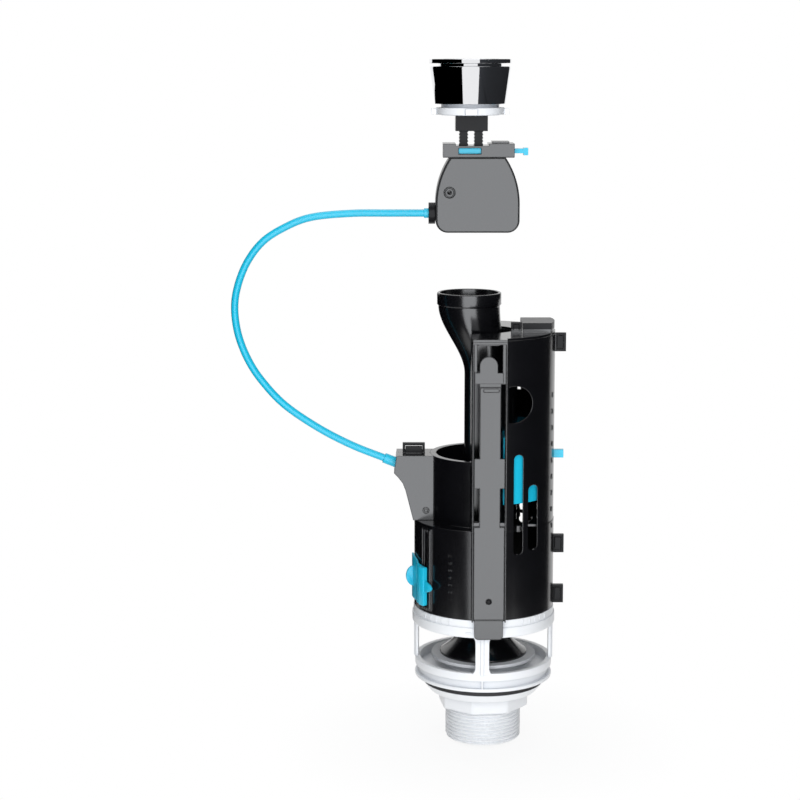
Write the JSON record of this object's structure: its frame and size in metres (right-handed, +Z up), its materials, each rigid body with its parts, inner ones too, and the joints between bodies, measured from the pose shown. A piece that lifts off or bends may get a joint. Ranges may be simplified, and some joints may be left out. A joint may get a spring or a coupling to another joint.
{
  "type": "toilet flush valve",
  "caption": "Cable-operated dual-flush valve for a toilet cistern: push button, actuator box and cable lift the overflow pipe off its seat above a threaded outlet with a back nut.",
  "frame": {"origin": "on the outlet's axis, at the underside of the sealing washer, where the cistern floor is", "axes": "+Z up along the outlet's axis, -Y towards the front rail, -X the side where the cable leaves the actuator box"},
  "size_m": [0.2087, 0.0931, 0.4297],
  "materials": {
    "white_plastic": "moulded white plastic",
    "black_plastic": "moulded black plastic, satin to gloss",
    "blue_plastic": "moulded cyan-blue plastic",
    "rubber": "moulded black rubber",
    "seal_rubber": "soft grey silicone",
    "steel": "drawn stainless wire and rod",
    "chrome": "bright plated plastic"
  },
  "bodies": {
    "valve": {"valve_base": "white_plastic", "sealing_washer": "rubber", "back_nut": "white_plastic", "front_shell": "black_plastic", "rear_shell": "black_plastic", "tower_cap": "black_plastic", "slider_catch": "black_plastic", "bracket_rear": "black_plastic", "bracket_front": "black_plastic", "lever_pin": "steel", "lower_ferrule": "blue_plastic", "cable_sheath": "blue_plastic", "upper_ferrule": "blue_plastic", "cable_gland": "black_plastic", "box_rear_shell": "black_plastic", "box_front_cover": "black_plastic", "cover_rivet": "black_plastic", "crank_pin": "steel", "mounting_stem": "black_plastic", "lock_ring": "white_plastic", "button_carrier": "white_plastic", "bezel_sleeve": "chrome", "bezel_ring": "chrome", "full_spring": "steel", "half_spring": "steel"},
    "spindle": {"overflow_pipe": "black_plastic", "lift_collar": "black_plastic", "valve_cone": "black_plastic", "flush_seal": "seal_rubber", "seal_retainer": "black_plastic"},
    "full_button": {"full_flush_button": "chrome", "full_push_rod": "steel"},
    "half_button": {"half_flush_button": "chrome", "half_push_rod": "steel"},
    "crank": {"bell_crank": "black_plastic"},
    "upper_wire": {"upper_pull_wire": "steel"},
    "lower_wire": {"lower_pull_wire": "steel"},
    "lever": {"lift_lever": "black_plastic"},
    "latch": {"latch": "blue_plastic"},
    "adjuster": {"flush_adjuster": "blue_plastic"},
    "float": {"half_flush_float": "blue_plastic"},
    "lock": {"lock_slider": "black_plastic", "slider_rivet": "black_plastic"}
  },
  "joints": [
    {"name": "spindle_lift", "type": "slide", "parent": "valve", "child": "spindle", "axis": [0, 0, 1], "range_m": [0, 0.016]},
    {"name": "full_button_press", "type": "slide", "parent": "valve", "child": "full_button", "axis": [0, 0, 1], "range_m": [-0.007, 0], "deforming": ["full_spring"]},
    {"name": "crank_turn", "type": "hinge", "parent": "valve", "child": "crank", "pos_m": [0.0054, 0, 0.3182], "axis": [0, -1, 0], "range_deg": [0, 20.8]},
    {"name": "upper_wire_pull", "type": "slide", "parent": "valve", "child": "upper_wire", "axis": [1, 0, 0], "range_m": [0, 0.0075]},
    {"name": "lower_wire_pull", "type": "slide", "parent": "valve", "child": "lower_wire", "axis": [-0.9285, 0, 0.3714], "range_m": [0, 0.0075]},
    {"name": "lever_turn", "type": "hinge", "parent": "valve", "child": "lever", "pos_m": [-0.04207, 0, 0.12285], "axis": [0, -1, 0], "range_deg": [0, 38]},
    {"name": "half_button_press", "type": "slide", "parent": "valve", "child": "half_button", "axis": [0, 0, 1], "range_m": [-0.004, 0], "stiffness_N_per_m": 400, "springref_m": 0.004, "deforming": ["half_spring"]},
    {"name": "latch_slide", "type": "slide", "parent": "valve", "child": "latch", "axis": [1, 0, 0], "range_m": [0, 0.004]},
    {"name": "adjuster_slide", "type": "slide", "parent": "valve", "child": "adjuster", "axis": [0, 0, 1], "range_m": [-0.0015, 0.021]},
    {"name": "float_slide", "type": "slide", "parent": "valve", "child": "float", "axis": [0, 0, 1], "range_m": [-0.015, 0.03]},
    {"name": "lock_slide", "type": "slide", "parent": "valve", "child": "lock", "axis": [0, 0, 1], "range_m": [0, 0.0024]}
  ],
  "couplings": [
    {"joint": "full_button_press", "follows": "spindle_lift", "ratio": -0.4375},
    {"joint": "crank_turn", "follows": "spindle_lift", "rad_per_m": 22.552},
    {"joint": "upper_wire_pull", "follows": "spindle_lift", "ratio": 0.46187},
    {"joint": "lower_wire_pull", "follows": "spindle_lift", "ratio": 0.46125},
    {"joint": "lever_turn", "follows": "spindle_lift", "rad_per_m": 41.224}
  ]
}
